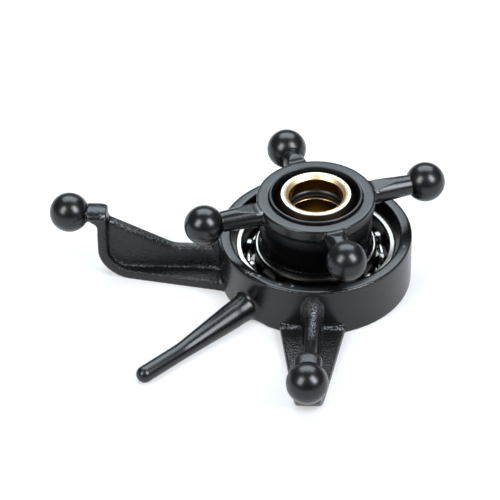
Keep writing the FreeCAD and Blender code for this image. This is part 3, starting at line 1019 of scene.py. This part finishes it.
class SWASHPLATE_OT_pivot(bpy.types.Operator):
    """Makes the plated pivot ball, its brass sleeves and the seal between them"""

    bl_idname = "swashplate.pivot"
    bl_label = "Pivot ball"

    def tarnish(self, mesh):
        """Browns the bore and the seat of a sleeve."""
        where = places(mesh)
        inner = sizes().shaft_radius / MM
        radius = from_axis(where)
        bore = fade(radius, inner + 0.01, inner + 0.05)
        paint(mesh, "film_and_painted_shade", np.maximum(bore, smoothstep(radius, inner + 0.3, inner + 0.33)))

    def execute(self, context):
        size = sizes()
        seat = size.shaft_radius + size.sleeve_wall
        press, face_round = 0.01 * MM, 0.1 * MM
        bore = seat + press
        bottom, top = low("pivot_ball"), high("pivot_ball")
        ball = reach("pivot_ball")
        groove_low, groove_high = high("lower_shaft_bush"), low("upper_shaft_bush")
        groove = reach("shaft_seal_ring") + press
        short, steps = 2.0, 40
        sweep = math.degrees(math.acos(size.pivot_face / ball)) - short
        corners = [(bore, bottom, EASE), (size.pivot_face, bottom, face_round)]
        corners += [(r, z, 0.0) for r, z in arc(0, 0, ball, -sweep, sweep, steps)]
        corners += [(size.pivot_face, top, face_round), (bore, top, EASE), (bore, groove_high, EASE),
                    (groove, groove_high, EASE), (groove, groove_low, EASE), (bore, groove_low, EASE)]
        mesh = lathe(rounded(corners), FINE_TURN)
        where = places(mesh)
        radius = from_axis(where)
        # painted shade on the sphere beyond the flats, and a dark joint line at the bore
        painted_sphere_shade = smoothstep(radius, size.pivot_face / MM - 0.02, size.pivot_face / MM + 0.05)
        joint = fade(radius, bore / MM + 0.005, bore / MM + 0.035)
        paint(mesh, "film_and_painted_shade", np.maximum(painted_sphere_shade, joint))
        link_piece("plated_ball", mesh, nickel_plate, "pivot", ["pivot_ball"])
        cut = size.sleeve_chamfer
        inner = size.shaft_radius
        corners = [(inner, groove_high, EASE), (seat, groove_high, EASE), (seat, top, EASE),
                   (inner + cut, top, 0.04 * MM), (inner, top - cut, 0.06 * MM)]
        mesh = lathe(rounded(corners), FINE_TURN)
        self.tarnish(mesh)
        link_piece("upper_sleeve", mesh, turned_brass, "pivot", ["upper_shaft_bush"])
        corners = [(inner, bottom, 0.08 * MM), (seat, bottom, EASE), (seat, groove_low, EASE),
                   (inner, groove_low, 0.09 * MM)]
        mesh = lathe(rounded(corners), FINE_TURN)
        self.tarnish(mesh)
        link_piece("lower_sleeve", mesh, turned_brass, "pivot", ["lower_shaft_bush"])
        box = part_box("shaft_seal_ring")
        cord = (box[1].z - box[0].z) / 2
        points = 40
        step = 360 / points
        mesh = lathe(arc(box[1].x - cord, (box[0].z + box[1].z) / 2, cord, 0, 360 - step, points - 1))
        link_piece("seal_ring", mesh, nitrile_rubber, "pivot", ["shaft_seal_ring"])
        return {"FINISHED"}


class SWASHPLATE_OT_retainers(bpy.types.Operator):
    """Makes the turned ring over the pivot ball and the collar under the bearing"""

    bl_idname = "swashplate.retainers"
    bl_label = "Retaining rings"

    def execute(self, context):
        bottom, top = low("ball_retaining_ring"), high("ball_retaining_ring")
        outer = reach("ball_retaining_ring")
        seat_gap, lip_width = 0.04 * MM, 0.17 * MM
        seat = reach("pivot_ball") + seat_gap
        throat, foot, steps = 22.0, 0.3, 16
        corners = [(outer, bottom, EASE), (outer, top, 0.08 * MM), (outer - lip_width, top, 0.05 * MM)]
        corners += [(r, z, 0.0) for r, z in arc(0, 0, seat, throat, foot, steps)]
        mesh = lathe(rounded(corners), FINE_TURN)
        link_piece("retaining_ring", mesh, turned_acetal, "turning_hub",
                   ["ball_retaining_ring"])
        bottom, top = low("inner_race_collar"), high("inner_race_collar")
        outer = reach("inner_race_collar")
        bore = sizes().race_bore
        corners = [(bore, bottom, EASE), (outer, bottom, 0.1 * MM), (outer, top, EASE), (bore, top, EASE)]
        mesh = lathe(rounded(corners))
        link_piece("race_collar", mesh, turned_acetal, "turning_hub", ["inner_race_collar"])
        return {"FINISHED"}


class SWASHPLATE_OT_stage(bpy.types.Operator):
    """Makes the floor, the studio lights and the camera"""

    bl_idname = "swashplate.stage"
    bl_label = "Stage"

    def execute(self, context):
        make_floor()
        make_lights()
        make_camera()
        return {"FINISHED"}


def make_floor():
    """Wide pale board just under the part."""
    gap, half = 0.002 * MM, 2.0
    level = CAD_BOX[0].z - gap
    mesh = bpy.data.meshes.new("floor")
    corners = [(-half, -half, level), (half, -half, level), (half, half, level), (-half, half, level)]
    mesh.from_pydata(corners, [], [(0, 1, 2, 3)])
    floor = linked("studio_floor", mesh)
    mesh.materials.append(material_of(studio_floor))


# Name, azimuth and elevation in degrees, width and height in metres, radiance and colour
LIGHTS = (("box_over", 181, 55, 0.46, 0.29, 5.9, "#e6f5ff"),
          ("box_left", -45, 41, 0.17, 0.26, 10.5, "#fafbff"),
          ("box_right", 56, 45, 0.17, 0.26, 16.5, "#f0f6ff"))
LIGHT_DISTANCE = 0.42


def soft_box(name, azimuth, elevation, width, height, radiance, colour):
    """Area light that faces the part; azimuth 0 is in front of it and 90 to its right."""
    a, e = math.radians(azimuth), math.radians(elevation)
    away = Vector((math.sin(a) * math.cos(e), -math.cos(a) * math.cos(e), math.sin(e)))
    light = bpy.data.lights.new(name, "AREA")
    light.shape = "RECTANGLE"
    light.size, light.size_y = width, height
    light.energy = radiance * math.pi * width * height
    light.color = linear(colour)[:3]
    holder = linked(name, light)
    holder.location = away * LIGHT_DISTANCE
    holder.rotation_mode = "QUATERNION"
    holder.rotation_quaternion = away.to_track_quat("Z", "Y")


def make_lights():
    """Large box over and behind the part and a pair of boxes beside the camera."""
    for light in LIGHTS:
        soft_box(*light)
    world = bpy.data.worlds.new("studio")
    world.use_nodes = True
    back = world.node_tree.nodes["Background"]
    back.inputs["Color"].default_value = linear(colours().air)
    back.inputs["Strength"].default_value = 0.2
    bpy.context.scene.world = world


def make_camera():
    """Camera on a long lens, above the front of the part."""
    azimuth, elevation, roll = math.radians(3.45), math.radians(38.84), math.radians(-0.76)
    aim, distance = Vector((-4.89, -1.08, -2.75)) * MM, 195.3 * MM
    back = Vector((math.sin(azimuth) * math.cos(elevation),
                   -math.cos(azimuth) * math.cos(elevation), math.sin(elevation)))
    lens = bpy.data.cameras.new("camera")
    lens.sensor_width = 36.0
    lens.lens = 187.2
    lens.clip_start, lens.clip_end = 0.005, 10.0
    camera = linked("camera", lens)
    camera.location = aim + back * distance
    camera.rotation_mode = "QUATERNION"
    level = (-back).to_track_quat("-Z", "Y")
    camera.rotation_quaternion = level @ Matrix.Rotation(roll, 3, "Z").to_quaternion()
    bpy.context.scene.camera = camera
    bpy.context.scene.view_settings.view_transform = "Standard"


class SWASHPLATE_PT_panel(bpy.types.Panel):
    """Lists the steps that dress the swashplate"""

    bl_label = "Swashplate"
    bl_idname = "SWASHPLATE_PT_panel"
    bl_space_type = "VIEW_3D"
    bl_region_type = "UI"
    bl_category = "Swashplate"

    def draw(self, context):
        for step in STEPS:
            self.layout.operator(step.bl_idname)


STEPS = (
    SWASHPLATE_OT_fixed_ring,
    SWASHPLATE_OT_hub,
    SWASHPLATE_OT_bearing,
    SWASHPLATE_OT_pivot,
    SWASHPLATE_OT_retainers,
    SWASHPLATE_OT_stage,
)
CLASSES = (SwashplateSizes, SwashplateColours) + STEPS + (SWASHPLATE_PT_panel,)


def register():
    for item in CLASSES:
        bpy.utils.register_class(item)
    bpy.types.Scene.swashplate_sizes = PointerProperty(type=SwashplateSizes)
    bpy.types.Scene.swashplate_colours = PointerProperty(type=SwashplateColours)


def unregister():
    del bpy.types.Scene.swashplate_sizes
    del bpy.types.Scene.swashplate_colours
    for item in reversed(CLASSES):
        bpy.utils.unregister_class(item)


def main():
    register()
    bpy.ops.swashplate.fixed_ring()
    bpy.ops.swashplate.hub()
    bpy.ops.swashplate.bearing()
    bpy.ops.swashplate.pivot()
    bpy.ops.swashplate.retainers()
    bpy.ops.swashplate.stage()


if __name__ == "__main__":
    main()
